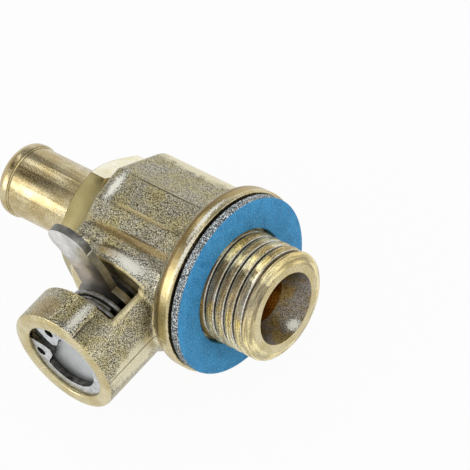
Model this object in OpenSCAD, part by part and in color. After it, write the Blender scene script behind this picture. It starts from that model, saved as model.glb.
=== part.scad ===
// Oil drain valve: a brass ball valve that screws into an engine's oil sump.
// Millimetres. +X runs along the thread towards its tip, the side boss with the lever points to -Y, +Z is up.
// The origin is on the thread's axis, where the sealing washer meets the sump.

/* [Thread and flange] */
// Outer diameter of the sump thread
thread_d = 14; // [12:0.5:18]
// Length of the threaded spigot from the sealing face
spigot_len = 8.4; // [7:0.1:16]
// Diameter of the spigot's flat end
spigot_tip_d = 11.5; // [10:0.1:11.8]
// Length of the lead-in chamfer on the spigot
spigot_chamfer = 1; // [0.4:0.1:1.5]
// Diameter of the relief behind the thread, as long as the washer is thick
relief_d = 12.6; // [11:0.1:13]
// Diameter of the funnel at the mouth of the spigot
funnel_d = 9.1; // [7:0.1:10]
// Depth of the funnel
funnel_depth = 3.4; // [1:0.1:4]
// Outer diameter of the flange
flange_d = 23.2; // [22.5:0.1:27]
// Thickness of the flange
flange_t = 2.9; // [2.6:0.1:3.8]
// Rounding of the flange's back edge
flange_round = 1.6; // [0.4:0.1:2]
// Outer diameter of the sealing washer
gasket_d = 22.6; // [19:0.1:26]
// Thickness of the sealing washer
gasket_t = 1.4; // [0.8:0.1:2.5]
// Radial slack between the washer and the thread
gasket_slack = 0.35; // [0.1:0.05:0.6]

/* [Body] */
// Distance from the sealing face to the axis of the boss
seal_to_axis = 9.7; // [9.5:0.1:12]
// Distance from the axis of the boss to the back of the body
body_back = 7.3; // [7.1:0.1:10]
// Width of the six-sided barrel across its flats
barrel_af = 18.6; // [18:0.1:21]
// Rounding of the barrel's long outer corners
barrel_round = 2.9; // [1:0.1:4]
// Rounding of the barrel's back edge
back_round = 1; // [0.5:0.1:2.2]
// Offset of the crisp edge of the slanted top flat, away from the boss
top_flat_far = 1.55; // [0.5:0.05:2]
// Offset of the soft edge of the slanted top flat, towards the boss
top_flat_near = 2.8; // [1.5:0.1:3.5]
// Half height of the shoulder that carries the boss
shoulder_half = 7.65; // [7:0.05:8]
// Distance that the shoulder reaches towards the end of the boss
shoulder_reach = 8.2; // [7.5:0.1:9]

/* [Boss] */
// Outer diameter of the boss
boss_d = 14.2; // [13.6:0.1:16]
// Distance from the main axis to the end of the boss
boss_len = 20.05; // [19.6:0.05:24]
// Diameter of the boss's bore
boss_bore_d = 10.74; // [10.6:0.02:11.4]
// Diameter of the collar at the root of the boss
collar_d = 16.2; // [15:0.1:18]
// Distance from the main axis to the back of the collar
collar_from = 7.3; // [6:0.1:7.4]
// Rounding of the collar's edges
collar_round = 0.9; // [0.3:0.1:1]
// Height of the raised land outside the window
land_rise = 0.4; // [0.2:0.05:0.6]
// Direction of the land's edge, measured from straight up
land_edge = 24; // [15:1:30]
// Chamfer on the mouth of the boss
mouth_chamfer = 0.25; // [0.1:0.05:0.4]

/* [Lever window] */
// Distance from the main axis to the floor of the two locking notches
notch_floor = 9.5; // [9.3:0.05:10]
// Depth of the locking notches below the track
notch_depth = 0.6; // [0.3:0.05:1]
// Width of the locking notches
notch_w = 9.1; // [8.4:0.1:9.6]
// Distance from the main axis to the outer edge of the window
window_end = 14.8; // [13.5:0.05:15.6]

/* [Ball and seats] */
// Diameter of the ball
ball_d = 10.4; // [9.8:0.1:10.8]
// Diameter of the oil passage
passage_d = 6.4; // [5:0.1:6.6]
// Diameter of the hole through the ball
ball_bore_d = 6; // [4:0.1:6.4]
// Diameter of the chamber around the ball
chamber_d = 11.3; // [11:0.1:11.8]
// Thickness of each seat ring
seat_t = 1.9; // [1.2:0.1:2.2]
// Distance from the ball's centre to the back of each seat
seat_back = 4.8; // [4.6:0.1:5]
// Running gap between the ball and its seats
ball_gap = 0.05; // [0.02:0.01:0.1]

/* [Stem] */
// Diameter of the stem
stem_d = 6; // [5:0.1:6.4]
// Radial running gap around the stem
stem_gap = 0.05; // [0.02:0.01:0.1]
// Section of the stem's sealing rings
ring_d = 0.8; // [0.5:0.05:0.9]
// Thickness of the drive blade in the ball's slot
blade_t = 2; // [1:0.1:3]
// Width of the stem across its two driving flats
drive_af = 3.6; // [3:0.1:4.4]
// Diameter of the stem's driving end
drive_d = 5.2; // [4.6:0.1:5.6]
// Distance from the main axis to the end of the stem
stem_end = 13.4; // [12.4:0.1:14.5]
// Thickness of the washer under the stem's collar
washer_t = 0.3; // [0.2:0.05:0.5]

/* [Lever] */
// Angle of the lever from its closed stop, as pictured
lever_lean = 15; // [0:1:30]
// Thickness of the lever
lever_t = 1; // [0.6:0.1:1.4]
// Width of the lever's arm
lever_w = 5.2; // [4:0.1:5.6]
// Diameter of the lever's hub
lever_hub_d = 10; // [9:0.1:10.2]
// Reach of the lever from the axis of the boss
lever_reach = 14.6; // [12:0.1:20]
// Diameter of the lever's rounded end
lever_tip_d = 5.6; // [5.2:0.1:7]
// Distance from the axis of the boss to the bend
lever_bend_at = 7; // [6:0.1:8]
// Angle of the bend
lever_bend = 8; // [0:1:15]

/* [Spring and cover] */
// Outer diameter of the spring
spring_d = 9.7; // [9:0.1:10]
// Diameter of the spring's wire
wire_d = 0.9; // [0.6:0.05:1]
// Number of turns of the spring
spring_turns = 4.5; // [3.5:0.5:5]
// Thickness of the cover disc
disc_t = 0.8; // [0.5:0.1:1.2]
// Thickness of the retaining ring
clip_t = 0.8; // [0.5:0.1:1]
// Depth of the retaining ring's front below the end of the boss
clip_depth = 0.55; // [0.4:0.05:1]
// Radial width of the retaining ring
clip_w = 1.55; // [1:0.05:1.8]
// Depth of the groove that holds the retaining ring
clip_groove = 0.4; // [0.2:0.05:0.6]
// Direction of the retaining ring's gap, measured from straight up
clip_gap_at = -56; // [-90:1:0]

/* [Hose connector] */
// Width of the hexagon across its flats
hex_af = 14.8; // [13.5:0.1:16]
// Length of the hexagon
hex_len = 3.45; // [2.5:0.05:5]
// Thickness of the flat seal under the hexagon
connector_seal_t = 0.4; // [0.2:0.05:0.8]
// Diameter of the connector's thread in the body
shank_d = 12; // [11.9:0.1:13]
// Outer diameter of the hose nipple
nipple_d = 9; // [8:0.1:10]
// Length of the nipple from the hexagon
nipple_len = 13.25; // [9:0.05:22]
// Diameter of the bead at the end of the nipple
bead_d = 9.45; // [9.1:0.05:10.6]
// Length of the bead
bead_len = 2.1; // [1.8:0.1:4]
// Rounding of the bead's outer end
bead_round = 1.3; // [0.5:0.1:1.4]

/* [Hidden] */

$fn = 96;
// Overlap that lets cuts run clean through a face
cut = 0.5;
// Gap between pieces that only just clear each other as they move
clear = 0.05;
// Thickness of the slices that a hull joins
slice = 0.01;

thread_r = thread_d / 2;
passage_r = passage_d / 2;
ball_r = ball_d / 2;
chamber_r = chamber_d / 2;
barrel_half = barrel_af / 2;
boss_r = boss_d / 2;
boss_bore_r = boss_bore_d / 2;
collar_r = collar_d / 2;
stem_r = stem_d / 2;
stem_hole_r = stem_r + stem_gap;
hex_corner_r = hex_af / 2 / cos(30);
// Room between the hexagon's corners and the collar as the connector is screwed in
face_gap = 0.3;
// How far the flat seal's edge lies inside the hexagon's flats
seal_inset = 0.2;

// Along the boss, measured from the main axis
track_level = notch_floor + notch_depth;
lever_back = track_level + clear;
lever_front = lever_back + lever_t;
stem_collar_top = notch_floor;
stem_collar_t = 0.55;
stem_collar_bottom = stem_collar_top - stem_collar_t;
boss_floor = stem_collar_bottom - clear - washer_t;
clip_front = boss_len - clip_depth;
clip_back = clip_front - clip_t;
disc_front = clip_back - clear;
disc_back = disc_front - disc_t;

// Along the main axis, measured from the boss's axis
seal_face = seal_to_axis;
flange_back = seal_face - flange_t;
flange_root = flange_back + flange_round / 2;
spigot_tip = seal_face + spigot_len;
shank_end = -seat_back;
// The oil passage widens behind each seat, to clear the ball
ball_relief_r = passage_r + 0.7;
ball_relief_end = ball_r + 0.2;
hex_front = -body_back - connector_seal_t;
hex_back = hex_front - hex_len;
nipple_end = hex_back - nipple_len;

brass = [0.83, 0.73, 0.46];
steel = [0.62, 0.62, 0.62];
white_seat = [0.93, 0.93, 0.9];
black_rubber = [0.12, 0.12, 0.12];
washer_blue = [0.2, 0.52, 0.74];

// Frames: the model is drawn round the ball's centre, then set back to the washer's outer face
module placed() translate([-seal_face - gasket_t, 0, 0]) children();
module along_main() rotate([0, 90, 0]) children();
module along_boss() rotate([90, 0, 0]) children();
// Flat outlines in Y and Z, drawn out along X
module prism_x(from, to) translate([from, 0, 0]) rotate([90, 0, 90]) linear_extrude(to - from) children();
// Outlines in X and Z, drawn out along the boss
module prism_boss(from, to) along_boss() translate([0, 0, from]) linear_extrude(to - from) children();
// A ring or disc about either axis
module disc_x(r, from, to) along_main() translate([0, 0, from]) cylinder(r = r, h = to - from);
module disc_boss(r, from, to) along_boss() translate([0, 0, from]) cylinder(r = r, h = to - from);
// What turns with the lever, drawn with the lever pointing straight up
module turned() rotate([0, -lever_lean, 0]) children();

// Corner points of an outline, each rounded to its own radius
function unit(v) = v / norm(v);
function rounded(points, radii, steps = 4) = [
    for (i = [0:len(points) - 1])
        let (
            here = points[i],
            before = unit(points[(i + len(points) - 1) % len(points)] - here),
            after = unit(points[(i + 1) % len(points)] - here),
            half = acos(before * after) / 2,
            centre = here + unit(before + after) * radii[i] / sin(half),
            first = here + before * radii[i] / tan(half) - centre,
            last = here + after * radii[i] / tan(half) - centre,
            from = atan2(first.y, first.x),
            sweep = (atan2(last.y, last.x) - from + 540) % 360 - 180
        )
        for (k = [0:steps])
            centre + radii[i] * [cos(from + sweep * k / steps), sin(from + sweep * k / steps)]
];

// Height of the barrel's sloping flats at a distance from its middle plane
function flat_height(half, y) = (half - abs(y) / 2) / cos(30);

// Half of the barrel's outline, from the far side over the top to the boss side
function barrel_top(half) =
    let (far = top_flat_far * half / barrel_half, near = top_flat_near * half / barrel_half)
    [[half, flat_height(half, half)], [far, flat_height(half, far)],
        [-near, flat_height(half, near)], [-half, flat_height(half, half)]];
function mirrored(points) = [for (i = [len(points) - 1:-1:0]) [points[i].x, -points[i].y]];

module barrel_outline(inset) {
    top = barrel_top(barrel_half - inset);
    radii = [max(barrel_round - inset, 0.6), 0.25, 1.4, max(barrel_round - inset, 0.6)];
    polygon(rounded(concat(top, mirrored(top)), concat(radii, [radii[3], radii[2], radii[1], radii[0]])));
}

// The shoulder's outline, from inside the barrel out towards the boss
module shoulder_outline(inset) {
    high = shoulder_half - inset;
    reach = shoulder_reach - inset;
    points = [[0, high], [-reach, high - 0.3], [-reach, -high + 0.3], [0, -high]];
    polygon(rounded(points, [0.5, 1.2, 2.4, 0.5]));
}

// The back edge is one hull over slices that grow round a quarter circle
module barrel() {
    steps = 5;
    hull() {
        for (k = [0:steps])
            let (a = 90 * k / steps, x = -body_back + back_round * (1 - cos(a)))
                prism_x(x, x + slice) barrel_outline(back_round * (1 - sin(a)));
        prism_x(flange_root - slice, flange_root) barrel_outline(0);
    }
}

// The shoulder narrows a little where it runs into the flange
module shoulder() {
    steps = 4;
    hull() {
        for (k = [0:steps])
            let (a = 90 * k / steps, x = -body_back + back_round * (1 - cos(a)))
                prism_x(x, x + slice) shoulder_outline(back_round * (1 - sin(a)));
        prism_x(0, slice) shoulder_outline(0);
        prism_x(flange_root - slice, flange_root) shoulder_outline(0.5);
    }
}

module flange() {
    rim = flange_d / 2;
    along_main() rotate_extrude() {
        translate([0, flange_back]) square([rim - flange_round, flange_t]);
        translate([0, flange_back + flange_round]) square([rim, flange_t - flange_round]);
        translate([rim - flange_round, flange_back + flange_round]) intersection() {
            circle(flange_round);
            translate([0, -flange_round]) square(flange_round);
        }
    }
}

module spigot() {
    straight_end = spigot_tip - spigot_chamfer;
    disc_x(relief_d / 2, seal_face - cut, seal_face + gasket_t + cut);
    disc_x(thread_r, seal_face + gasket_t, straight_end);
    along_main() translate([0, 0, straight_end])
        cylinder(r1 = thread_r, r2 = spigot_tip_d / 2, h = spigot_chamfer);
}

module collar() {
    along_boss() rotate_extrude() {
        translate([0, collar_from]) square([collar_r - collar_round, notch_floor - collar_from]);
        translate([0, collar_from + collar_round])
            square([collar_r, notch_floor - collar_from - 2 * collar_round]);
        for (t = [collar_from + collar_round, notch_floor - collar_round])
            translate([collar_r - collar_round, t]) circle(collar_round);
    }
}

// A flat pie slice between two directions, which count from +Z towards +X
module sector(r, from, to) {
    steps = 12;
    polygon(concat([[0, 0]], [for (k = [0:steps]) let (a = from + (to - from) * k / steps) 2 * r * [sin(a), cos(a)]]));
}

// The land is as long as the window, and mirrored about the window's middle
module land() {
    prism_boss(window_end + clear, boss_len - mouth_chamfer) intersection() {
        circle(boss_r + land_rise);
        union() {
            sector(boss_r, -45, land_edge);
            sector(boss_r, -90 - land_edge, -45);
        }
    }
}

module boss() {
    disc_boss(boss_r + land_rise, collar_from, notch_floor - collar_round / 2);
    disc_boss(boss_r, 0, boss_len - mouth_chamfer);
    along_boss() translate([0, 0, boss_len - mouth_chamfer])
        cylinder(r1 = boss_r, r2 = boss_r - mouth_chamfer, h = mouth_chamfer);
    collar();
    land();
}

// The lever's window: a shallow track for the turn, with a deeper notch at each end that locks the lever
module window() {
    reach = boss_r + land_rise + cut;
    prism_boss(notch_floor, window_end) translate([-notch_w / 2, 0]) square([notch_w, reach]);
    prism_boss(notch_floor, window_end) translate([-reach, -notch_w / 2]) square([reach, notch_w]);
    prism_boss(track_level, window_end) translate([-reach, 0]) square(reach);
}

module boss_bores() {
    disc_boss(boss_bore_r, boss_floor, boss_len + cut);
    disc_boss(boss_bore_r + clip_groove, clip_back - clear, clip_front + clear);
    disc_boss(stem_hole_r, 0, boss_floor + cut);
    along_boss() translate([0, 0, boss_len - mouth_chamfer])
        cylinder(r1 = boss_bore_r, r2 = boss_bore_r + 2 * mouth_chamfer, h = 2 * mouth_chamfer);
}

// The back is faced off, so that the hexagon's corners clear the collar
module main_bores() {
    disc_x(hex_corner_r + face_gap, -body_back - collar_r, -body_back);
    disc_x(chamber_r, -body_back - cut, seat_back);
    disc_x(shank_d / 2, -body_back - cut, shank_end);
    disc_x(passage_r, 0, spigot_tip + cut);
    disc_x(ball_relief_r, 0, ball_relief_end);
    along_main() translate([0, 0, spigot_tip - funnel_depth])
        cylinder(r1 = passage_r, r2 = funnel_d / 2, h = funnel_depth);
    disc_x(funnel_d / 2, spigot_tip, spigot_tip + cut);
}

module body() color(brass) placed() difference() {
    union() {
        barrel();
        shoulder();
        flange();
        spigot();
        boss();
    }
    main_bores();
    boss_bores();
    window();
}

module gasket() color(washer_blue) placed() difference() {
    disc_x(gasket_d / 2, seal_face, seal_face + gasket_t);
    disc_x(thread_r + gasket_slack, seal_face - cut, seal_face + gasket_t + cut);
}

// The hexagon has a corner up, and both its ends are turned to a slope
module hexagon() {
    outside = hex_corner_r + 0.2;
    back_slope = 1;
    front_slope = 0.5;
    intersection() {
        translate([hex_back, 0, 0]) rotate([90, 0, 90]) rotate(30) cylinder(r = hex_corner_r, h = hex_len, $fn = 6);
        along_main() rotate(15) rotate_extrude() polygon([[0, hex_back], [hex_af / 2 - 0.15, hex_back],
            [outside, hex_back + back_slope], [outside, hex_front - front_slope],
            [hex_corner_r - 0.8, hex_front], [0, hex_front]]);
    }
}

module end_connector() color(brass) placed() difference() {
    bead_r = bead_d / 2;
    nipple_r = nipple_d / 2;
    crease = 0.2;
    union() {
        hexagon();
        disc_x(shank_d / 2, hex_front - cut, shank_end);
        along_main() rotate_extrude() {
            translate([bead_r - bead_round, nipple_end + bead_round]) circle(bead_round);
            polygon([[0, nipple_end], [bead_r - bead_round, nipple_end], [bead_r, nipple_end + bead_round],
                [bead_r, nipple_end + bead_len - crease], [nipple_r, nipple_end + bead_len],
                [nipple_r, hex_back + cut], [0, hex_back + cut]]);
        }
    }
    disc_x(passage_r, nipple_end - cut, cut);
    disc_x(ball_relief_r, -ball_relief_end, cut);
}

module connector_seal() color(black_rubber) placed() difference() {
    disc_x(hex_af / 2 - seal_inset, hex_front, -body_back);
    disc_x(shank_d / 2 + clear, hex_front - cut, cut - body_back);
}

// A seat ring, hollowed by the ball
module seat() difference() {
    disc_x(chamber_r - clear, seat_back - seat_t, seat_back);
    disc_x(passage_r, seat_back - seat_t - cut, seat_back + cut);
    sphere(ball_r + ball_gap);
}

module front_seat() color(white_seat) placed() seat();
module rear_seat() color(white_seat) placed() mirror([1, 0, 0]) seat();

// The slot and the blade in it lie along the lever
blade_bottom = ball_bore_d / 2 + 1;
module ball() color(steel) placed() turned() difference() {
    sphere(ball_r);
    translate([0, 0, -ball_d]) cylinder(d = ball_bore_d, h = 2 * ball_d);
    translate([-blade_t / 2 - clear, -ball_d, -ball_d])
        cube([blade_t + 2 * clear, ball_d - blade_bottom + clear, 2 * ball_d]);
}

ring_grooves = [ball_r + 0.75, ball_r + 2.1];
groove_w = ring_d + 0.15;
ring_gap = 0.02;
groove_r = stem_hole_r - 2 * ring_gap - ring_d;

module stem() color(steel) placed() turned() {
    shaft_bottom = chamber_r;
    blade_r = seat_back - seat_t - clear;
    difference() {
        union() {
            disc_boss(stem_r, shaft_bottom, stem_collar_top);
            disc_boss(boss_bore_r - 0.5, stem_collar_bottom, stem_collar_top);
            intersection() {
                disc_boss(drive_d / 2, stem_collar_bottom, stem_end);
                prism_boss(stem_collar_bottom, stem_end) square([drive_af, drive_d], center = true);
            }
            intersection() {
                disc_boss(blade_r, blade_bottom, shaft_bottom + cut);
                prism_boss(blade_bottom, shaft_bottom + cut) square([blade_t, stem_d], center = true);
            }
        }
        for (t = ring_grooves) difference() {
            disc_boss(stem_r + cut, t, t + groove_w);
            disc_boss(groove_r, t - cut, t + groove_w + cut);
        }
    }
}

// A sealing ring, seated in its groove and just clear of the bore
module stem_o_ring(t) color(black_rubber) placed() along_boss() translate([0, 0, t + groove_w / 2])
    rotate_extrude() translate([stem_hole_r - ring_gap - ring_d / 2, 0]) circle(d = ring_d, $fn = 32);
module stem_o_ring_inner() stem_o_ring(ring_grooves[0]);
module stem_o_ring_outer() stem_o_ring(ring_grooves[1]);

module thrust_washer() color(white_seat) placed() difference() {
    disc_boss(boss_bore_r - 2 * clear, boss_floor, boss_floor + washer_t);
    disc_boss(stem_hole_r, boss_floor - cut, boss_floor + washer_t + cut);
}

// The lever is a flat plate: a hub on the stem's flats, and an arm whose outer part bends away from the body
module lever() color(steel) placed() turned() difference() {
    bend_r = lever_bend_at;
    tip_r = lever_tip_d / 2;
    outer_len = lever_reach - lever_bend_at - tip_r;
    union() {
        prism_boss(lever_back, lever_front) {
            circle(d = lever_hub_d);
            translate([-lever_w / 2, 0]) square([lever_w, bend_r]);
        }
        translate([0, -lever_back, bend_r]) rotate([lever_bend, 0, 0]) translate([0, lever_back, -bend_r])
            prism_boss(lever_back, lever_front) {
                translate([-lever_w / 2, bend_r - lever_t * sin(lever_bend)])
                    square([lever_w, outer_len + lever_t * sin(lever_bend)]);
                translate([0, bend_r + outer_len]) circle(tip_r);
            }
    }
    prism_boss(lever_back - cut, lever_front + cut) intersection() {
        circle(d = drive_d + 2 * clear);
        square([drive_af + 2 * clear, drive_d + 2 * clear], center = true);
    }
}

// A coil with a closed turn at each end: how far along its length each angle lies
spring_len = disc_back - lever_front - 2 * clear;
function coil_rise(turn) =
    let (closed = wire_d * 1.02, active = spring_turns - 2, rise = spring_len - wire_d - 2 * closed)
    turn < 1 ? closed * turn
    : turn > spring_turns - 1 ? spring_len - wire_d - closed * (spring_turns - turn)
    : closed + rise * (turn - 1) / active;

module spring() color(steel) placed() along_boss() translate([0, 0, lever_front + clear + wire_d / 2]) {
    sides = 8;
    per_turn = 20;
    rings = spring_turns * per_turn;
    coil_r = (spring_d - wire_d) / 2;
    points = [
        for (i = [0:rings]) for (k = [0:sides - 1])
            let (a = 360 * i / per_turn, b = 360 * k / sides, r = coil_r + wire_d / 2 * cos(b))
            [r * cos(a), r * sin(a), coil_rise(i / per_turn) + wire_d / 2 * sin(b)]
    ];
    walls = [
        for (i = [0:rings - 1]) for (k = [0:sides - 1])
            let (next = (k + 1) % sides)
            [i * sides + k, (i + 1) * sides + k, (i + 1) * sides + next, i * sides + next]
    ];
    ends = [[for (k = [0:sides - 1]) k], [for (k = [sides - 1:-1:0]) rings * sides + k]];
    polyhedron(points, concat(walls, ends));
}

module cover_disc() color(steel) placed()
    disc_boss(boss_bore_r - clear, disc_back, disc_front);

// The retaining ring is open on one side, with a holed lug on each side of its gap
module circlip_lug() difference() {
    hull() {
        for (spot = [[0.7, 4.9, 12], [0.8, 3, 18], [1.1, 4.2, 42]])
            translate(spot[1] * [sin(spot[2]), cos(spot[2])]) circle(spot[0], $fn = 32);
    }
    translate(4.3 * [sin(38), cos(38)]) circle(0.55, $fn = 32);
}

module circlip() color(steel) placed()
    prism_boss(clip_back, clip_front) rotate(-clip_gap_at) {
        outer = boss_bore_r + clip_groove - clear;
        difference() {
            circle(outer);
            circle(outer - clip_w);
            sector(outer, -10, 10);
            for (side = [-1, 1]) translate(4.3 * [side * sin(38), cos(38)]) circle(0.55, $fn = 32);
        }
        intersection() {
            circle(outer);
            for (side = [0, 1]) mirror([side, 0]) circlip_lug();
        }
    }

body();
gasket();
end_connector();
connector_seal();
front_seat();
rear_seat();
ball();
stem();
stem_o_ring_inner();
stem_o_ring_outer();
thrust_washer();
lever();
spring();
cover_disc();
circlip();
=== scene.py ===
import math
import bpy
import bmesh
from mathutils import Matrix, Vector


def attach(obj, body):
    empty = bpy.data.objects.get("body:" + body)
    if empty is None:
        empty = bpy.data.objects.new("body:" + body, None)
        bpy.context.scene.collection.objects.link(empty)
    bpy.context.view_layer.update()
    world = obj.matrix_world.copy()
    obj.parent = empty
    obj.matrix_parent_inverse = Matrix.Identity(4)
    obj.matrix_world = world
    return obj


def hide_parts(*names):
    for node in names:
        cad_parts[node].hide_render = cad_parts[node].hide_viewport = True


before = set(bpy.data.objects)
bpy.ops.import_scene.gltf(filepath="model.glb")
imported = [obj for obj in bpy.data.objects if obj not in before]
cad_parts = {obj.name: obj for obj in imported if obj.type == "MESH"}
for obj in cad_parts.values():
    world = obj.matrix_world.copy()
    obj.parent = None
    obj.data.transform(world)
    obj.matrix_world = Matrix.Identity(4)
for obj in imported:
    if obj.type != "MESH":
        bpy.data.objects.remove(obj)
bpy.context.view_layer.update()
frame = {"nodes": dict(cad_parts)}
nodes = frame["nodes"]
mm = 0.001
bossX = -11.1 * mm  # the boss and the stem turn about this line, which runs along Y
print("frame loaded")


# Steps that the finishes share

def newFinish(name):
    finish = bpy.data.materials.new(name)
    finish.use_nodes = True
    finish.node_tree.nodes.clear()
    return finish, finish.node_tree.nodes, finish.node_tree.links


def noiseAt(nodes, links, scale, detail=2.0, stretch=(1, 1, 1), roughness=0.6):  # on the piece's own coordinates
    coords = nodes.new("ShaderNodeTexCoord")
    mapping = nodes.new("ShaderNodeMapping")
    mapping.inputs["Scale"].default_value = stretch
    noise = nodes.new("ShaderNodeTexNoise")
    noise.inputs["Scale"].default_value = scale
    noise.inputs["Detail"].default_value = detail
    noise.inputs["Roughness"].default_value = roughness
    links.new(coords.outputs["Object"], mapping.inputs["Vector"])
    links.new(mapping.outputs["Vector"], noise.inputs["Vector"])
    return noise.outputs["Fac"]


def ramp(nodes, links, factor, stops):  # stops are (place, colour)
    node = nodes.new("ShaderNodeValToRGB")
    elements = node.color_ramp.elements
    while len(elements) < len(stops):
        elements.new(0.5)
    for element, (place, colour) in zip(elements, stops):
        element.position = place
        element.color = (*colour, 1)
    links.new(factor, node.inputs["Fac"])
    return node.outputs["Color"]


def linked(links, value, socket):  # a plain value is set, another node's output is joined
    if isinstance(value, (int, float)):
        socket.default_value = value
    elif isinstance(value, tuple):
        socket.default_value = (*value, 1) if len(socket.default_value) == 4 else value
    else:
        links.new(value, socket)


def mixed(nodes, links, factor, first, second, blend="MIX"):
    node = nodes.new("ShaderNodeMix")
    node.data_type = "RGBA"
    node.blend_type = blend
    node.clamp_factor = True
    linked(links, factor, node.inputs[0])
    linked(links, first, node.inputs[6])
    linked(links, second, node.inputs[7])
    return node.outputs[2]


def sums(nodes, links, operation, first, second, clamp=False):
    node = nodes.new("ShaderNodeMath")
    node.operation = operation
    node.use_clamp = clamp
    linked(links, first, node.inputs[0])
    linked(links, second, node.inputs[1])
    return node.outputs[0]


def ranged(nodes, links, value, low, high, toLow, toHigh):
    node = nodes.new("ShaderNodeMapRange")
    node.inputs["From Min"].default_value = low
    node.inputs["From Max"].default_value = high
    node.inputs["To Min"].default_value = toLow
    node.inputs["To Max"].default_value = toHigh
    links.new(value, node.inputs["Value"])
    return node.outputs["Result"]


def bumped(nodes, links, height, depth, under=None):
    node = nodes.new("ShaderNodeBump")
    node.inputs["Strength"].default_value = 1.0
    node.inputs["Distance"].default_value = depth
    links.new(height, node.inputs["Height"])
    if under is not None:
        links.new(under, node.inputs["Normal"])
    return node.outputs["Normal"]


def finished(nodes, links, colour, roughness, normal=None, metallic=1.0, **sockets):
    shader = nodes.new("ShaderNodeBsdfPrincipled")
    output = nodes.new("ShaderNodeOutputMaterial")
    for name, value in sockets.items():
        shader.inputs[name.replace("_", " ")].default_value = value
    linked(links, colour, shader.inputs["Base Color"])
    linked(links, roughness, shader.inputs["Roughness"])
    linked(links, metallic, shader.inputs["Metallic"])
    if normal is not None:
        links.new(normal, shader.inputs["Normal"])
    links.new(shader.outputs["BSDF"], output.inputs["Surface"])


# Finishes

# tints for the marks below; the brightest paints highlights, and most others paint shade and reflections
tints = {"smooth": (0.6, 0.48, 0.22), "streak": (0.82, 0.69, 0.36), "brown": (0.42, 0.3, 0.11), "deep": (0.24, 0.16, 0.06),
         "pale": (0.84, 0.77, 0.54), "paintedHighlight": (1.0, 0.98, 0.84), "line": (0.09, 0.07, 0.045)}

rimMarks = [  # painted highlights along the flange's front edge, on the forging and on the faced front
    ("paintedHighlight", 1.0, (-2.12, -0.3, 11.5), (0.23, 2.9, 1.4)), ("paintedHighlight", 0.9, (-1.66, -5.0, 10.3), (0.18, 2.6, 1.9)),
]

forgedLook = {
    "gold": (0.33, 0.288, 0.152), "grey": (0.312, 0.286, 0.21),
    "pit": (0.05, 0.05, 0.06), "glint": (2.5, 2.55, 2.7), "softPit": (0.13, 0.12, 0.1), "softGlint": (2.3, 2.3, 2.2),
    "grain": 9400, "patches": 330, "depth": 0.018 * mm, "roughness": (0.26, 0.4),
    "marks": [  # painted marks in mm: tint, share, middle, half size along x, y and z; most paint highlights, reflections and shade
        ("streak", 0.75, (-10.9, -2.62, 9.0), (5.8, 0.37, 1.2)),  # a painted yellow reflection along the lower edge of the top flat
        ("pale", 0.85, (-11.0, 8.6, 5.5), (9.0, 1.9, 3.2)),  # a painted pale reflection on the far side of the barrel
        ("line", 0.8, (-10.2, 1.42, 9.8), (5.9, 0.1, 1.5)),  # the top flat's far edge, a step drawn as painted shade with a painted highlight beside it
        ("pale", 0.9, (-10.2, 1.6, 9.8), (5.9, 0.1, 1.5)),
        ("brown", 0.75, (-10.2, -5.4, 7.6), (7.4, 0.72, 1.2)),  # painted brown shade and reflection in the hollow above the shoulder, with painted dark shade in its crease
        ("line", 0.7, (-10.1, -4.95, 7.9), (3.9, 0.14, 0.8)),
        ("smooth", 0.7, (-2.3, 0, 0), (0.85, 60, 60)),  # the flange's rim
        # painted brown shade on the flange's upper rim
        ("brown", 0.6, (-2.5, 2.0, 6.0), (1.1, 11, 14)),
        ("deep", 0.8, (-3.08, 0, 0), (0.36, 60, 60)),  # painted dark shade in the flange's back edge
        ("pale", 0.7, (-3.9, -14.8, -0.4), (3.0, 5.6, 2.2)),  # a painted highlight beside the parting line
        ("line", 0.9, (-4.0, -14.5, 0.3), (3.0, 7.0, 0.1)),  # the parting line itself, a real ridge with its shaded side painted dark
        ("brown", 0.85, (-11.4, -8.1, 7.9), (2.2, 1.0, 1.0)),  # a painted brown reflection on the collar
        ("line", 0.75, (-9.6, -7.1, 7.4), (4.4, 0.13, 2.4)),  # painted dark shade in the crease behind the collar
        ("line", 0.8, (-7.9, -18.0, 6.4), (0.14, 2.6, 0.6)),  # painted dark shade along the land's edge on the boss
        ("brown", 0.45, (-13.6, -18.2, 7.0), (2.6, 2.4, 1.6)),
        ("paintedHighlight", 1.0, (-16.6, -0.7, 9.5), (0.5, 1.9, 1.2)),  # a painted highlight on the barrel's back corner
        ("paintedHighlight", 1.0, (-8.3, -8.2, 7.4), (2.6, 0.95, 1.6)),  # a painted highlight on the collar's edge
        ("paintedHighlight", 0.8, (-8.8, -17.6, 7.1), (0.5, 2.4, 0.6)),  # a painted highlight on the land on the boss
        *rimMarks,
    ],
}


def markedPlace(nodes, links, place, wobble, middle, half):  # 1 in an egg about the middle, 0 outside
    fitted = nodes.new("ShaderNodeMapping")
    fitted.inputs["Location"].default_value = [-m / h for m, h in zip(middle, half)]
    fitted.inputs["Scale"].default_value = [1 / (h * mm) for h in half]
    links.new(place, fitted.inputs["Vector"])
    away = nodes.new("ShaderNodeVectorMath")
    away.operation = "LENGTH"
    links.new(fitted.outputs["Vector"], away.inputs[0])
    return ranged(nodes, links, sums(nodes, links, "ADD", away.outputs["Value"], wobble), 0.62, 1.0, 1, 0)


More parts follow.
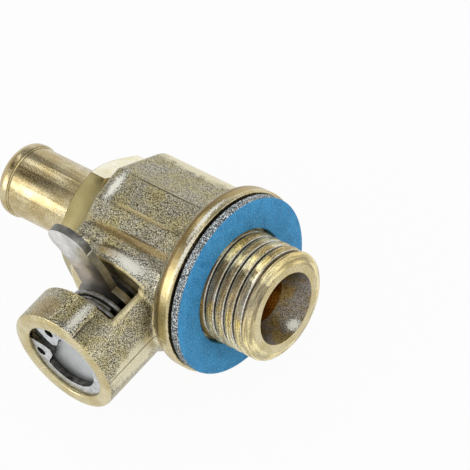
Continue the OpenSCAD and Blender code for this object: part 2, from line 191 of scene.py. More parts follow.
def marked(nodes, links, colour, grain, marks):  # also gives how plain the surface is and where a highlight is painted
    place = nodes.new("ShaderNodeTexCoord").outputs["Object"]
    soft = ranged(nodes, links, noiseAt(nodes, links, 1100, detail=3), 0.3, 0.7, -0.22, 0.22)
    wobbles = {"line": sums(nodes, links, "MULTIPLY", soft, 0.6), "paintedHighlight": ranged(nodes, links, grain, 0.38, 0.62, 0.2, -0.8)}
    plain = paintedHighlight = 0.0
    for tint, share, middle, half in marks:
        mask = markedPlace(nodes, links, place, wobbles.get(tint, soft), middle, half)
        mask = sums(nodes, links, "MULTIPLY", mask, share)
        colour = mixed(nodes, links, mask, colour, tints[tint])
        plain = sums(nodes, links, "MAXIMUM", mask, plain)
        # a painted highlight also takes the metal away, so that it shows as a bright diffuse patch
        if tint == "paintedHighlight":
            paintedHighlight = sums(nodes, links, "MAXIMUM", mask, paintedHighlight)
    return colour, plain, paintedHighlight


def forgedBrass(name, look):
    finish, nodes, links = newFinish(name)
    grain = noiseAt(nodes, links, look["grain"], detail=1, roughness=0.4)
    patches = noiseAt(nodes, links, look["patches"], detail=5, roughness=0.72)
    isGold = ranged(nodes, links, patches, 0.41, 0.63, 0, 1)
    body = mixed(nodes, links, isGold, look["grey"], look["gold"])
    strong = ramp(nodes, links, grain, [(0.4, look["pit"]), (0.5, (1, 1, 1)), (0.6, look["glint"])])
    weak = ramp(nodes, links, grain, [(0.4, look["softPit"]), (0.5, (1, 1, 1)), (0.6, look["softGlint"])])
    grained = mixed(nodes, links, 1.0, body, mixed(nodes, links, isGold, strong, weak), "MULTIPLY")

    point = nodes.new("ShaderNodeNewGeometry").outputs["Pointiness"]
    # hollows get a painted golden-brown reflection; sharp corners get edge wear together with a painted pale highlight
    hollow = ranged(nodes, links, point, 0.485, 0.455, 0, 1)
    colour = mixed(nodes, links, hollow, grained, tints["smooth"])
    colour = mixed(nodes, links, ranged(nodes, links, point, 0.54, 0.6, 0, 0.55), colour, tints["pale"])
    colour, plain, paintedHighlight = marked(nodes, links, colour, grain, look["marks"])
    plain = sums(nodes, links, "MAXIMUM", plain, hollow)
    height = sums(nodes, links, "MULTIPLY", grain, ranged(nodes, links, plain, 0, 1, 1, 0.12))
    normal = bumped(nodes, links, height, look["depth"])
    finished(nodes, links, colour, ranged(nodes, links, grain, 0.3, 0.7, *look["roughness"]), normal,
             metallic=sums(nodes, links, "SUBTRACT", 1.0, paintedHighlight))
    return finish


turnedLook = {
    "base": (0.54, 0.45, 0.255), "deep": (0.48, 0.38, 0.19), "pale": (0.6, 0.52, 0.32),
    "grain": 5600, "depth": 0.011 * mm, "lines": 1500, "lineDepth": 0.003 * mm, "roughness": (0.18, 0.3), "specks": 0.4,
}
facedLook = dict(turnedLook, base=(0.61, 0.53, 0.31), deep=(0.55, 0.46, 0.24), pale=(0.67, 0.59, 0.37),
                 depth=0.008 * mm, roughness=(0.24, 0.36), specks=0.25, marks=rimMarks)
threadLook = dict(turnedLook, base=(0.54, 0.47, 0.29), deep=(0.47, 0.37, 0.16), pale=(0.6, 0.57, 0.44),
                  grain=9000, depth=0.02 * mm, roughness=(0.3, 0.42), specks=1.2, spread=300, metal=0.3,
                  paintedLightBands=[  # painted highlights and shade round the axis, in degrees from the top towards the far side, with their tints
                      (-110, (1.6, 1.55, 1.35)), (-82, (1.5, 1.42, 1.15)), (-66, (1.35, 1.15, 0.65)), (-53, (0.62, 0.57, 0.5)),
                      (-32, (0.42, 0.39, 0.37)), (-15, (0.55, 0.51, 0.44)), (-7, (3.1, 3.0, 2.5)), (1, (2.6, 2.45, 1.7)),
                      (8, (0.95, 0.85, 0.62)), (27, (1.12, 0.98, 0.62)), (42, (1.45, 1.38, 1.15)), (70, (1.25, 1.2, 1.05))])
# the crest edges, near white, are painted highlights; the flanks and grooves, very dark, are painted shade
edgeLook = dict(threadLook, base=(0.78, 0.74, 0.58), deep=(0.6, 0.54, 0.36), pale=(0.95, 0.93, 0.84), specks=0.9)
grooveLook = dict(threadLook, base=(0.16, 0.12, 0.08), deep=(0.07, 0.05, 0.03), pale=(0.28, 0.22, 0.15))
# the chamfered tip has its own painted highlights and shade round the axis
tipLook = dict(threadLook, deep=(0.52, 0.44, 0.25), pale=(0.57, 0.51, 0.34), specks=0.6, paintedLightBands=[
    (-110, (1.6, 1.55, 1.3)), (-70, (1.5, 1.43, 1.15)), (-55, (1.2, 1.12, 0.95)), (-36, (0.55, 0.52, 0.48)),
    (-14, (0.78, 0.74, 0.65)), (-7, (2.1, 2.05, 1.75)), (2, (1.6, 1.52, 1.2)), (20, (1.25, 1.15, 0.8)),
    (70, (1.35, 1.28, 1.05))])
del edgeLook["paintedLightBands"], grooveLook["paintedLightBands"]
# the funnel's dark base is painted shade inside the mouth, and its bright mark at the lower right a painted highlight
funnelLook = dict(turnedLook, base=(0.21, 0.18, 0.14), deep=(0.25, 0.175, 0.065), pale=(0.245, 0.22, 0.195),
                  grain=9000, depth=0.026 * mm, roughness=(0.26, 0.4), specks=1.25, spread=300, marks=[
                      ("deep", 0.8, (4.6, -2.6, -2.6), (1.4, 0.8, 1.0)), ("paintedHighlight", 0.9, (6.3, 0.9, -4.3), (0.65, 0.7, 0.4))])
# the bore's dark orange is painted shade and reflection deep in the spigot
boreLook = dict(turnedLook, base=(0.42, 0.24, 0.06), deep=(0.3, 0.16, 0.035), pale=(0.5, 0.32, 0.1))
nutLook = dict(turnedLook, base=(0.39, 0.33, 0.15), deep=(0.36, 0.3, 0.135), pale=(0.42, 0.36, 0.175),
               depth=0.002 * mm, specks=0.06, roughness=(0.24, 0.3))
# the far top facet's cream is a painted reflection of the bright surroundings
paintedReflectionLook = dict(nutLook, base=(0.92, 0.87, 0.66), deep=(0.84, 0.77, 0.52), pale=(0.96, 0.93, 0.78), specks=0.15)


def paintedLightRound(nodes, links, wobble, paintedLightBands):  # painted light and shade that change round the X axis
    split = nodes.new("ShaderNodeSeparateXYZ")
    links.new(nodes.new("ShaderNodeTexCoord").outputs["Object"], split.inputs[0])
    angle = sums(nodes, links, "ARCTAN2", split.outputs["Y"], split.outputs["Z"])
    angle = sums(nodes, links, "ADD", angle, ranged(nodes, links, wobble, 0.3, 0.7, -0.24, 0.24))
    return ramp(nodes, links, ranged(nodes, links, angle, -math.pi, math.pi, 0, 1),
                [(0.5 + degrees / 360, tint) for degrees, tint in paintedLightBands])


def warmed(nodes, links):  # painted warmth on the first crests, against the blue light that the washer reflects onto them
    split = nodes.new("ShaderNodeSeparateXYZ")
    links.new(nodes.new("ShaderNodeTexCoord").outputs["Object"], split.inputs[0])
    along = ranged(nodes, links, split.outputs["X"], -1 * mm, 4.5 * mm, 0, 1)
    return ramp(nodes, links, along, [(0, (1.15, 0.93, 0.7)), (1, (1, 1, 1))])


def turnedBrass(name, look, axis=0):  # rings about the axis it was turned on, and a light grain
    finish, nodes, links = newFinish(name)
    stretch = tuple(1 if i == axis else 0.06 for i in range(3))
    lines = noiseAt(nodes, links, look["lines"], detail=4, stretch=stretch)
    grain = noiseAt(nodes, links, look["grain"], detail=2, roughness=0.7)
    patches = noiseAt(nodes, links, look.get("spread", 380), detail=3)
    colour = ramp(nodes, links, patches, [(0.38, look["deep"]), (0.5, look["base"]), (0.62, look["pale"])])
    share = look.get("specks", 0.25)
    dark, light = 1 - 0.75 * share, 1 + 0.7 * share
    specks = ramp(nodes, links, grain, [(0.36, (dark,) * 3), (0.5, (1, 1, 1)), (0.66, (light,) * 3)])
    colour = mixed(nodes, links, 1.0, colour, specks, "MULTIPLY")
    if "paintedLightBands" in look:
        colour = mixed(nodes, links, 1.0, colour, paintedLightRound(nodes, links, patches, look["paintedLightBands"]), "MULTIPLY")
        colour = mixed(nodes, links, 1.0, colour, warmed(nodes, links), "MULTIPLY")
        fine = noiseAt(nodes, links, 5200, detail=1, stretch=stretch)
        fine = ramp(nodes, links, fine, [(0.38, (0.6,) * 3), (0.5, (1, 1, 1)), (0.62, (1.45,) * 3)])
        colour = mixed(nodes, links, 1.0, colour, fine, "MULTIPLY")
    metal = look.get("metal", 1.0)
    if "marks" in look:
        colour, plain, paintedHighlight = marked(nodes, links, colour, grain, look["marks"])
        metal = sums(nodes, links, "SUBTRACT", metal, paintedHighlight)
    normal = bumped(nodes, links, lines, look["lineDepth"])
    normal = bumped(nodes, links, grain, look["depth"], normal)
    finished(nodes, links, colour, ranged(nodes, links, grain, 0.3, 0.7, *look["roughness"]), normal,
             metallic=metal)
    return finish


def steel(name, dark, light, scale, stretch, depth, roughness, paintedLightByHeight=None):
    finish, nodes, links = newFinish(name)
    marks = noiseAt(nodes, links, scale, detail=4, stretch=stretch)
    colour = ramp(nodes, links, marks, [(0.34, dark), (0.66, light)])
    if paintedLightByHeight:  # painted light and shade by height in mm
        split = nodes.new("ShaderNodeSeparateXYZ")
        links.new(nodes.new("ShaderNodeTexCoord").outputs["Object"], split.inputs[0])
        height = ranged(nodes, links, split.outputs["Z"], 0, 20 * mm, 0, 1)
        shade = ramp(nodes, links, height, [(z / 20, tint) for z, tint in paintedLightByHeight])
        colour = mixed(nodes, links, 1.0, colour, shade, "MULTIPLY")
    grain = noiseAt(nodes, links, 5200, detail=2)
    normal = bumped(nodes, links, marks, depth)
    normal = bumped(nodes, links, grain, depth * 0.8, normal)
    finished(nodes, links, colour, ranged(nodes, links, grain, 0.3, 0.7, *roughness), normal)
    return finish


def coated(name, dark, light, scale, depth, roughness, specks=None, speckScale=5200, speckRange=(0.54, 0.66)):
    finish, nodes, links = newFinish(name)
    mottle = noiseAt(nodes, links, scale, detail=5, roughness=0.7)
    grain = noiseAt(nodes, links, speckScale, detail=2)
    colour = ramp(nodes, links, mottle, [(0.34, dark), (0.66, light)])
    if specks:
        colour = mixed(nodes, links, ranged(nodes, links, grain, *speckRange, 0, 1), colour, specks)
    normal = bumped(nodes, links, grain, depth)
    finished(nodes, links, colour, ranged(nodes, links, mottle, 0.3, 0.7, *roughness), normal, metallic=0.0,
             Specular_IOR_Level=0.35)
    return finish


forged = forgedBrass("forged brass", forgedLook)
turned = turnedBrass("turned brass", turnedLook)
faced = turnedBrass("faced brass", facedLook, axis=1)
threadBrass = turnedBrass("threaded brass", threadLook)
tipBrass = turnedBrass("chamfered tip", tipLook)
crestEdge = turnedBrass("thread crest edge", edgeLook)
groove = turnedBrass("thread groove", grooveLook)
rimBrass = turnedBrass("brass rim", dict(facedLook, roughness=(0.2, 0.3)))
funnelBrass = turnedBrass("speckled funnel", funnelLook)
boreBrass = turnedBrass("dark bore", boreLook)
nutBrass = turnedBrass("hexagon", nutLook)
paintedReflectionBrass = turnedBrass("hexagon with painted reflection", paintedReflectionLook)
edgeBrass = turnedBrass("hexagon edge", dict(nutLook, base=(0.3, 0.23, 0.1), deep=(0.2, 0.15, 0.06), pale=(0.4, 0.33, 0.17)))
washerFace = coated("blue washer face", (0.02, 0.235, 0.51), (0.06, 0.385, 0.75), 620, 0.02 * mm, (0.55, 0.75),
                    specks=(0.22, 0.55, 0.82))
washerCore = coated("grey washer core", (0.006, 0.007, 0.008), (0.18, 0.21, 0.22), 3600, 0.05 * mm, (0.5, 0.8),
                    specks=(0.93, 0.98, 0.98), speckScale=6000, speckRange=(0.53, 0.56))
blackRubberAndGapShadow = coated("black rubber and gap shadow", (0.012, 0.012, 0.012), (0.03, 0.03, 0.03), 900, 0.01 * mm, (0.5, 0.7))
whiteSeat = coated("white seat", (0.72, 0.72, 0.69), (0.86, 0.86, 0.83), 500, 0.006 * mm, (0.35, 0.5))
ballSteel = steel("polished ball", (0.62, 0.62, 0.62), (0.78, 0.78, 0.78), 500, (1, 1, 1), 0.001 * mm, (0.08, 0.14))
stemSteel = steel("turned stem", (0.35, 0.35, 0.34), (0.6, 0.6, 0.58), 900, (0.1, 1, 0.1), 0.004 * mm, (0.28, 0.42))
# the lever's face darkens downwards: painted shade inside the window
leverSteelWithShade = steel("stamped lever with painted shade", (0.52, 0.515, 0.5), (0.8, 0.79, 0.76), 800, (1, 1, 1), 0.006 * mm, (0.26, 0.4),
                   [(3.2, (0.2, 0.19, 0.17)), (5.4, (0.5, 0.42, 0.32)), (7.6, (0.72, 0.64, 0.52)), (8.6, (1, 1, 1))])
# the lever's edge: a painted glint across it at the bend, lighter below and darker above and towards the bottom
leverEdgeWithGlint = steel("sheared lever edge with painted glint", (0.2, 0.195, 0.18), (0.34, 0.33, 0.3), 1400, (1, 1, 1), 0.008 * mm, (0.3, 0.5),
                  [(5, (0.8, 0.7, 0.5)), (9.5, (1.5, 1.45, 1.3)), (10.7, (1.3, 1.3, 1.25)), (10.76, (4.4, 4.4, 4.3)),
                   (10.94, (4.4, 4.4, 4.3)), (11.0, (0.75, 0.75, 0.75))])
# the wire is dark as painted shade, since the spring lies inside the boss
springSteel = steel("spring wire", (0.1, 0.1, 0.1), (0.32, 0.32, 0.32), 1500, (1, 1, 1), 0.003 * mm, (0.16, 0.3))
discSteel = steel("rolled disc", (0.5, 0.52, 0.52), (0.58, 0.6, 0.6), 1300, (1, 1, 1), 0.002 * mm, (0.4, 0.5))
clipSteel = steel("stamped ring", (0.42, 0.43, 0.44), (0.7, 0.72, 0.73), 1600, (1, 1, 1), 0.006 * mm, (0.3, 0.45))
# the ring's sides: darker sheared edges, and painted shade in the recess behind the ring
clipEdgeAndShade = steel("sheared ring edge and painted shade", (0.03, 0.028, 0.025), (0.16, 0.15, 0.14), 1600, (1, 1, 1), 0.008 * mm, (0.3, 0.5))
print("finishes made")


# Steps that the pieces share

def pieceFrom(bm, name, body, materials, standsFor=()):
    mesh = bpy.data.meshes.new(name)
    bm.to_mesh(mesh)
    bm.free()
    mesh.shade_smooth()
    piece = bpy.data.objects.new(name, mesh)
    bpy.context.scene.collection.objects.link(piece)
    for material in materials:
        mesh.materials.append(material)
    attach(piece, body)
    if standsFor:
        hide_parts(*standsFor)
    return piece


def mergedCopy(node):  # a CAD mesh is loose triangles, so a copy of it is merged before it is worked on
    bm = bmesh.new()
    bm.from_mesh(nodes[node].data)
    bmesh.ops.remove_doubles(bm, verts=bm.verts, dist=1e-6)
    return bm


def softEdges(piece, width, segments=2, angle=32, material=-1):  # the slight rounding that stamping or turning leaves
    rounding = piece.modifiers.new("soft edges", "BEVEL")
    rounding.width = width
    rounding.segments = segments
    rounding.limit_method = "ANGLE"
    rounding.angle_limit = math.radians(angle)
    rounding.harden_normals = True
    rounding.material = material
    return piece


def softEdged(node, name, body, materials, width, segments=2, edgeAxis=None):
    bm = mergedCopy(node)
    bmesh.ops.dissolve_limit(bm, angle_limit=math.radians(0.4), verts=bm.verts, edges=bm.edges)
    if edgeAxis is not None:  # what doesn't face along the axis is the sheared edge
        for face in bm.faces:
            if abs(face.normal[edgeAxis]) < 0.8:
                face.material_index = 1
    return softEdges(pieceFrom(bm, name, body, materials, (node,)), width, segments)


def spunRing(bm, outline, segments, centre=(0, 0, 0), axis=(1, 0, 0)):  # a closed outline of (along, out) points
    side = Vector((0, 0, 1))
    along = Vector(axis)
    points = [bm.verts.new(Vector(centre) + along * a * mm + side * r * mm) for a, r in outline]
    edges = [bm.edges.new((points[i], points[(i + 1) % len(points)])) for i in range(len(points))]
    bmesh.ops.spin(bm, geom=points + edges, cent=centre, axis=axis, dvec=(0, 0, 0),
                   angle=math.tau, steps=segments, use_merge=True)
    bmesh.ops.remove_doubles(bm, verts=bm.verts, dist=1e-7)
    bmesh.ops.recalc_face_normals(bm, faces=bm.faces)


def wound(bm, outline, start, pitch, turns, perTurn, centre=(0, 0, 0), axis=(1, 0, 0), side=(0, 0, 1)):
    along, out = Vector(axis), Vector(side)  # a closed outline of (along, out) points, wound into a capped helix
    points = [bm.verts.new(Vector(centre) + along * (start + a) * mm + out * r * mm) for a, r in outline]
    edges = [bm.edges.new((points[i], points[(i + 1) % len(points)])) for i in range(len(points))]
    steps = round(turns * perTurn)
    bm.faces.new(points)
    made = bmesh.ops.spin(bm, geom=points + edges, cent=centre, axis=axis, dvec=along * pitch * mm / perTurn,
                          angle=math.tau * steps / perTurn, steps=steps)
    bmesh.ops.contextual_create(bm, geom=[e for e in made["geom_last"] if isinstance(e, bmesh.types.BMEdge)])
    bmesh.ops.recalc_face_normals(bm, faces=bm.faces)


# The forging

forging = {
    "cutAt": -1.35, "voxel": 0.205, "softPasses": 1, "fillPasses": 22, "rimPasses": 5, "shoulderTo": 6.7,
    "endPlane": 19.7, "boreTo": 6.1, "windowFrom": 9.2, "windowTo": 15.1,
    "partingAt": 0.3, "partingHalf": 0.14, "partingHeight": 0.06,
}


def placeIn(co):  # x from the boss's axis, y, z, then the distances from both axes, all in mm
    x, y, z = co.x / mm + 11.1, co.y / mm, co.z / mm
    return x, y, z, math.hypot(y, z), math.hypot(x, z)


def isForged(co):  # not in the bores, the window, the end of the boss or the flange's front
    f = forging
    x, y, z, fromMain, fromBoss = placeIn(co)
    if co.x / mm > -2 or x < -7.1 or -y > f["endPlane"] or fromMain < 6.2:
        return False
    if fromBoss < f["boreTo"] and -y > 8:
        return False
    return not (f["windowFrom"] < -y < f["windowTo"] and x < 5.2 and z > -5.2)


def makeForging():
    f = forging
    bm = mergedCopy("body")
    cut = bmesh.ops.bisect_plane(bm, geom=bm.verts[:] + bm.edges[:] + bm.faces[:], plane_co=(f["cutAt"] * mm, 0, 0),
                                 plane_no=(1, 0, 0), clear_outer=True)
    bmesh.ops.bridge_loops(bm, edges=[e for e in cut["geom_cut"] if isinstance(e, bmesh.types.BMEdge)])
    rough = bpy.data.meshes.new("rough forging")
    bm.to_mesh(rough)
    bm.free()
    holder = bpy.data.objects.new("rough forging", rough)
    bpy.context.scene.collection.objects.link(holder)
    remesh = holder.modifiers.new("voxels", "REMESH")
    remesh.mode = "VOXEL"
    remesh.voxel_size = f["voxel"] * mm
    fine = bpy.data.meshes.new_from_object(holder.evaluated_get(bpy.context.evaluated_depsgraph_get()))
    bpy.data.objects.remove(holder)

    bm = bmesh.new()
    bm.from_mesh(fine)
    skin = [v for v in bm.verts if isForged(v.co)]
    for _ in range(f["softPasses"]):
        bmesh.ops.smooth_vert(bm, verts=skin, factor=0.5, use_axis_x=True, use_axis_y=True, use_axis_z=True)
    least = 0.012 * f["voxel"] * mm
    for turn in range(f["fillPasses"]):  # only hollows move, so corners stay crisp while fillets grow
        bm.normal_update()
        hollows = []
        for v in skin:
            if turn >= f["rimPasses"] and -v.co.y > f["shoulderTo"] * mm:
                continue
            near = [e.other_vert(v).co for e in v.link_edges]
            middle = sum(near, Vector()) / len(near)
            if (middle - v.co).dot(v.normal) > least:
                hollows.append(v)
        bmesh.ops.smooth_vert(bm, verts=hollows, factor=0.5, use_axis_x=True, use_axis_y=True, use_axis_z=True)
    for v in skin:
        x, y, z, fromMain, fromBoss = placeIn(v.co)
        if x > 6 and y < -9.6 and abs(z - f["partingAt"]) < f["partingHalf"]:
            v.co.x += f["partingHeight"] * mm
    for face in bm.faces:
        if not isForged(face.calc_center_median()):
            face.material_index = 1
    return pieceFrom(bm, "forging", "valve_body", [forged, faced], ("body",))


forgingPiece = makeForging()
print("forging made:", len(forgingPiece.data.polygons), "faces")


# Spigot and thread

spigot = {"root": 6.5, "crest": 6.98, "pitch": 1.43, "start": -1.365, "turns": 5.0, "crestWidth": 1.02, "crestDrop": 0.14,
          "footWidth": 1.36, "tip": 7.0, "tipRadius": 5.5, "relief": 6.3, "bore": 3.2, "funnel": 4.62, "funnelEnd": 3.6}


def makeSpigot():
    s = spigot
    outline = [
        (forging["cutAt"], s["bore"]), (forging["cutAt"], s["relief"]), (-0.6, s["relief"]), (-0.4, s["root"]),
        (5.95, s["root"]), (6.1, s["crest"] - 0.08), (6.16, s["crest"] - 0.02), (6.36, s["crest"] - 0.1),
        (6.58, s["crest"] - 0.34), (6.77, s["crest"] - 0.68), (6.9, s["tipRadius"] + 0.4),
        (6.97, s["tipRadius"] + 0.15), (s["tip"], s["tipRadius"] - 0.1), (s["tip"], s["funnel"] + 0.03),
        (s["tip"] - 0.03, s["funnel"]), (s["funnelEnd"] + 0.03, s["bore"] + 0.02), (s["funnelEnd"], s["bore"]),
    ]
    bm = bmesh.new()
    spunRing(bm, outline, 160)
    for face in bm.faces:
        centre = face.calc_center_median()
        along, out = centre.x / mm, math.hypot(centre.y, centre.z) / mm
        if out < s["bore"] + 0.01 and along < s["funnelEnd"]:
            face.material_index = 3
        elif out < s["funnel"] and along < s["tip"] - 0.02:
            face.material_index = 2
        elif face.normal.x > 0.97:
            face.material_index = 1
        elif out < s["root"] + 0.01 and along < 6:
            face.material_index = 4
        elif along > 6.2:
            face.material_index = 5
    piece = pieceFrom(bm, "sumpSpigot", "valve_body", [threadBrass, rimBrass, funnelBrass, boreBrass, groove,
                                                                tipBrass], ("body",))
    piece.data.set_sharp_from_angle(angle=math.radians(38))
    return piece


def makeThread():
    s = spigot
    half, foot, low = s["crestWidth"] / 2, s["footWidth"] / 2, s["root"] - 0.12
    back, front = s["crest"], s["crest"] - s["crestDrop"]
    outline = [(-foot, low), (-foot, s["root"] + 0.02), (-half - 0.02, back - 0.08), (-half + 0.03, back - 0.02),
               (-half + 0.1, back), (half - 0.1, front + 0.02), (half - 0.03, front), (half + 0.02, front - 0.06),
               (foot, s["root"] + 0.02), (foot, low)]
    bm = bmesh.new()
    wound(bm, outline, s["start"], s["pitch"], s["turns"], 96, side=(0, 0, -1))
    cut = bmesh.ops.bisect_plane(bm, geom=bm.verts[:] + bm.edges[:] + bm.faces[:],
                                 plane_co=(forging["cutAt"] * mm, 0, 0), plane_no=(1, 0, 0), clear_inner=True)
    bmesh.ops.holes_fill(bm, edges=[e for e in cut["geom_cut"] if isinstance(e, bmesh.types.BMEdge)], sides=0)
    bmesh.ops.recalc_face_normals(bm, faces=bm.faces)
    for face in bm.faces:  # the crests, their edges and the flanks
        tilt = abs(face.normal.x)
        face.material_index = 0 if tilt < 0.2 else 1 if tilt < 0.85 else 2
    return pieceFrom(bm, "sumpThread", "valve_body", [threadBrass, crestEdge, groove], ("body",))


makeSpigot()
makeThread()
print("spigot and thread made")


# Washer

washer = {"outer": 11.3, "inner": 7.35, "back": -1.4, "edge": 0.16}


def makeWasher():
    w = washer
    e = w["edge"]
    outline = [(w["back"] + 0.02, w["inner"]), (w["back"] + 0.02, w["outer"] - 0.7), (w["back"] + 0.22, w["outer"] - 0.16),
               (w["back"] + 0.38, w["outer"]), (-e, w["outer"]), (-0.04, w["outer"] - 0.05), (0, w["outer"] - e),
               (0, w["inner"] + e), (-0.05, w["inner"] + 0.05), (-e, w["inner"])]
    bm = bmesh.new()
    spunRing(bm, outline, 160)
    for face in bm.faces:
        # the rim gets the grey core; the back edge gets the black finish as a painted shadow in the gap before the
        # flange
        if face.normal.x < 0.5 and math.hypot(face.calc_center_median().y, face.calc_center_median().z) > 9 * mm:
            face.material_index = 2 if face.normal.x < -0.3 else 1
    piece = pieceFrom(bm, "sealingWasher", "valve_body", [washerFace, washerCore, blackRubberAndGapShadow],
                      ("gasket",))
    piece.data.set_sharp_from_angle(angle=math.radians(30))
    return piece


makeWasher()
print("washer made")


# Retaining ring

ring = {"front": 19.5, "thickness": 0.8, "outer": 5.7, "inner": 4.15, "gapAt": -61, "gapHalf": 17,
        "lug": [(3.3, 16), (2.55, 20), (2.35, 30), (2.45, 42), (2.9, 51), (3.6, 58)], "hole": (4.35, 40, 0.62)}


def makeRing():
    r = ring
    turned = [(r["outer"], a) for a in range(r["gapHalf"], 361 - r["gapHalf"], 3)]
    outline = turned + [(out, -a) for out, a in r["lug"]]
    outline += [(r["inner"], -a) for a in range(r["lug"][-1][1] + 6, 361 - r["lug"][-1][1] - 6, 3)]
    outline += r["lug"][::-1]
    bm = bmesh.new()

    def loopOf(points):  # points are (distance from the axis, angle from straight up)
        verts = [bm.verts.new((bossX + out * math.sin(math.radians(a + r["gapAt"])) * mm, -r["front"] * mm,
                               out * math.cos(math.radians(a + r["gapAt"])) * mm)) for out, a in points]
        return [bm.edges.new((verts[i], verts[(i + 1) % len(verts)])) for i in range(len(verts))]

    edges = loopOf(outline)
    out, away, wide = r["hole"]
    for side in (-1, 1):
        middle = Vector((out * math.sin(math.radians(side * away)), out * math.cos(math.radians(away))))
        spots = [middle + wide * Vector((math.sin(math.tau * k / 24), math.cos(math.tau * k / 24))) for k in range(24)]
        edges += loopOf([(spot.length, math.degrees(math.atan2(spot.x, spot.y))) for spot in spots])
    flat = bmesh.ops.triangle_fill(bm, edges=edges, use_beauty=True, use_dissolve=False, normal=(0, -1, 0))
    faces = [g for g in flat["geom"] if isinstance(g, bmesh.types.BMFace)]
    thick = bmesh.ops.extrude_face_region(bm, geom=faces, use_keep_orig=True)
    bmesh.ops.translate(bm, vec=(0, r["thickness"] * mm, 0), verts=[g for g in thick["geom"] if isinstance(g, bmesh.types.BMVert)])
    bmesh.ops.recalc_face_normals(bm, faces=bm.faces)
    for face in bm.faces:
        if abs(face.normal.y) < 0.8:
            face.material_index = 1
    piece = pieceFrom(bm, "retainingRing", "valve_body", [clipSteel, clipEdgeAndShade], ("circlip",))
    return softEdges(piece, 0.06 * mm)


makeRing()


# Pieces that keep their CAD form

def makeConnector():
    bm = mergedCopy("end_connector")
    bmesh.ops.dissolve_limit(bm, angle_limit=math.radians(0.4), verts=bm.verts, edges=bm.edges)
    for face in bm.faces:
        middle = face.calc_center_median()
        if abs(face.normal.x) < 0.1 and math.hypot(middle.y, middle.z) > 6.2 * mm:
            # the far top facet gets a painted pale reflection, the other flats the plain hexagon finish
            face.material_index = 2 if face.normal.dot(Vector((0, 0.5, 0.87))) > 0.95 else 1
    piece = pieceFrom(bm, "hoseConnector", "valve_body", [turned, nutBrass, paintedReflectionBrass, edgeBrass],
                      ("end_connector",))
    softEdges(piece, 0.07 * mm, material=3)


makeConnector()
softEdged("lever", "handLever", "hand_lever", [leverSteelWithShade, leverEdgeWithGlint], 0.13 * mm, 3, edgeAxis=1)
softEdged("cover_disc", "coverDisc", "valve_body", [discSteel], 0.1 * mm)

spring = {"wire": 0.45, "radius": 4.4, "from": 11.2, "to": 17.8, "turns": 4.5}


def makeSpring():
    s = spring
    sides = 12
    outline = [(s["wire"] * math.sin(math.tau * k / sides), s["radius"] + s["wire"] * math.cos(math.tau * k / sides))
               for k in range(sides)]
    bm = bmesh.new()
    pitch = (s["to"] - s["from"] - 2 * s["wire"]) / s["turns"]
    wound(bm, outline, s["from"] + s["wire"], pitch, s["turns"], 40, centre=(bossX, 0, 0), axis=(0, -1, 0),
          side=(0, 0, -1))
    return pieceFrom(bm, "coilSpring", "hand_lever", [springSteel], ("spring",))


makeSpring()

kept = {
    "connector_seal": blackRubberAndGapShadow, "front_seat": whiteSeat, "rear_seat": whiteSeat, "ball": ballSteel, "stem": stemSteel,
    "stem_o_ring_inner": blackRubberAndGapShadow, "stem_o_ring_outer": blackRubberAndGapShadow, "thrust_washer": whiteSeat,
}
for node, material in kept.items():
    for holder in nodes[node].material_slots:
        holder.material = material
print("pieces made")


# Stage

stage = {
    "camera": (277.77, -216.4, 387.5), "right": (0.75725, 0.62276, -0.19684), "up": (-0.37338, 0.66005, 0.65186),
    "lens": 339.6, "floor": -11.75, "floorShine": 0.95,
    "overhead": (1.05, 0.33),  # the room above, from the boss's side to the far side
    "darkCard": (-0.54, -0.17, 0.825),  # the direction of the dark card overhead
    "lamps": [  # direction from the object, distance, width, height, radiance
        ("back softbox", (-0.54, 0.3, 0.79), 0.6, 0.07, 0.24, 2.3),
        ("side softbox", (-0.54, -0.75, 0.37), 0.6, 0.21, 0.31, 2.6),
        ("front softbox", (0.78, 0.1, 0.5), 0.8, 0.35, 0.35, 2.0),
    ],
}


def seenDirectly(nodes, links, share):  # the share, for what the camera sees, also in metal or through glass
    path = nodes.new("ShaderNodeLightPath")
    total = path.outputs["Is Camera Ray"]
    for name in ("Is Glossy Ray", "Is Transmission Ray"):
        total = sums(nodes, links, "ADD", total, path.outputs[name], clamp=True)
    return sums(nodes, links, "MULTIPLY", total, share)


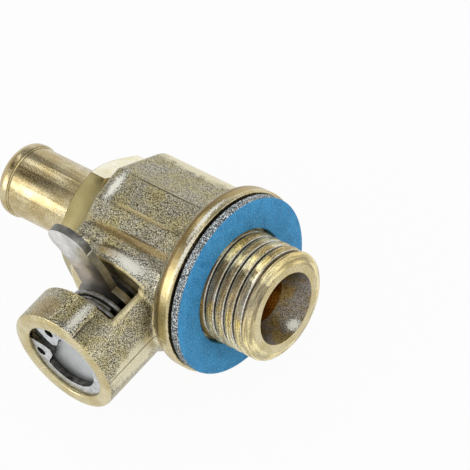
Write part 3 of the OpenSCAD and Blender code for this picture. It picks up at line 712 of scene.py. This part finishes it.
def makeStage():
    s = stage
    right, up = Vector(s["right"]), Vector(s["up"])
    camera = bpy.data.objects.new("camera", bpy.data.cameras.new("camera"))
    bpy.context.scene.collection.objects.link(camera)
    camera.data.lens = s["lens"]
    camera.data.sensor_width = 36
    camera.data.clip_start, camera.data.clip_end = 0.05, 20
    turn = Matrix((right, up, right.cross(up))).transposed().to_4x4()
    camera.matrix_world = Matrix.Translation(Vector(s["camera"]) * mm) @ turn
    bpy.context.scene.camera = camera

    aim = Vector((-0.012, -0.004, 0))
    for name, direction, distance, width, height, radiance in s["lamps"]:
        lamp = bpy.data.lights.new(name, "AREA")
        lamp.shape = "RECTANGLE"
        lamp.size, lamp.size_y = width, height
        lamp.energy = radiance * math.pi * width * height
        holder = bpy.data.objects.new(name, lamp)
        bpy.context.scene.collection.objects.link(holder)
        away = Vector(direction).normalized()
        holder.matrix_world = Matrix.Translation(aim + away * distance) @ away.to_track_quat("Z", "Y").to_matrix().to_4x4()

    bm = bmesh.new()
    bmesh.ops.create_grid(bm, x_segments=1, y_segments=1, size=3)
    bmesh.ops.translate(bm, vec=(0, 0, s["floor"] * mm), verts=bm.verts)
    mesh = bpy.data.meshes.new("floor")
    bm.to_mesh(mesh)
    bm.free()
    floor = bpy.data.objects.new("floor", mesh)
    bpy.context.scene.collection.objects.link(floor)
    finish, nodes, links = newFinish("pale floor")
    diffuse = nodes.new("ShaderNodeBsdfDiffuse")
    diffuse.inputs["Color"].default_value = (0.86, 0.86, 0.86, 1)
    shine = nodes.new("ShaderNodeEmission")
    shine.inputs["Color"].default_value = (1, 1, 1, 1)
    mix = nodes.new("ShaderNodeMixShader")
    links.new(seenDirectly(nodes, links, s["floorShine"]), mix.inputs[0])
    links.new(diffuse.outputs[0], mix.inputs[1])
    links.new(shine.outputs[0], mix.inputs[2])
    links.new(mix.outputs[0], nodes.new("ShaderNodeOutputMaterial").inputs[0])
    mesh.materials.append(finish)

    world = bpy.data.worlds.new("studio")
    bpy.context.scene.world = world
    world.use_nodes = True
    nodes, links = world.node_tree.nodes, world.node_tree.links
    nodes.clear()
    card = nodes.new("ShaderNodeVectorMath")
    card.operation = "DOT_PRODUCT"
    card.inputs[1].default_value = Vector(s["darkCard"]).normalized()
    links.new(nodes.new("ShaderNodeTexCoord").outputs["Generated"], card.inputs[0])
    split = nodes.new("ShaderNodeSeparateXYZ")
    links.new(nodes.new("ShaderNodeTexCoord").outputs["Generated"], split.inputs[0])
    overhead = ranged(nodes, links, split.outputs["Y"], -0.5, 0.5, *s["overhead"])
    room = mixed(nodes, links, ranged(nodes, links, split.outputs["Z"], 0.2, 0.5, 0, 1), (1, 1, 1), overhead)
    seen = mixed(nodes, links, ranged(nodes, links, card.outputs["Value"], 0.962, 0.988, 0, 1), room, (0.07, 0.05, 0.035))
    colour = mixed(nodes, links, seenDirectly(nodes, links, 1), (0.62, 0.62, 0.63), seen)
    background = nodes.new("ShaderNodeBackground")
    links.new(colour, background.inputs["Color"])
    links.new(background.outputs[0], nodes.new("ShaderNodeOutputWorld").inputs[0])
    bpy.context.scene.view_settings.view_transform = "Standard"


makeStage()
print("stage made")
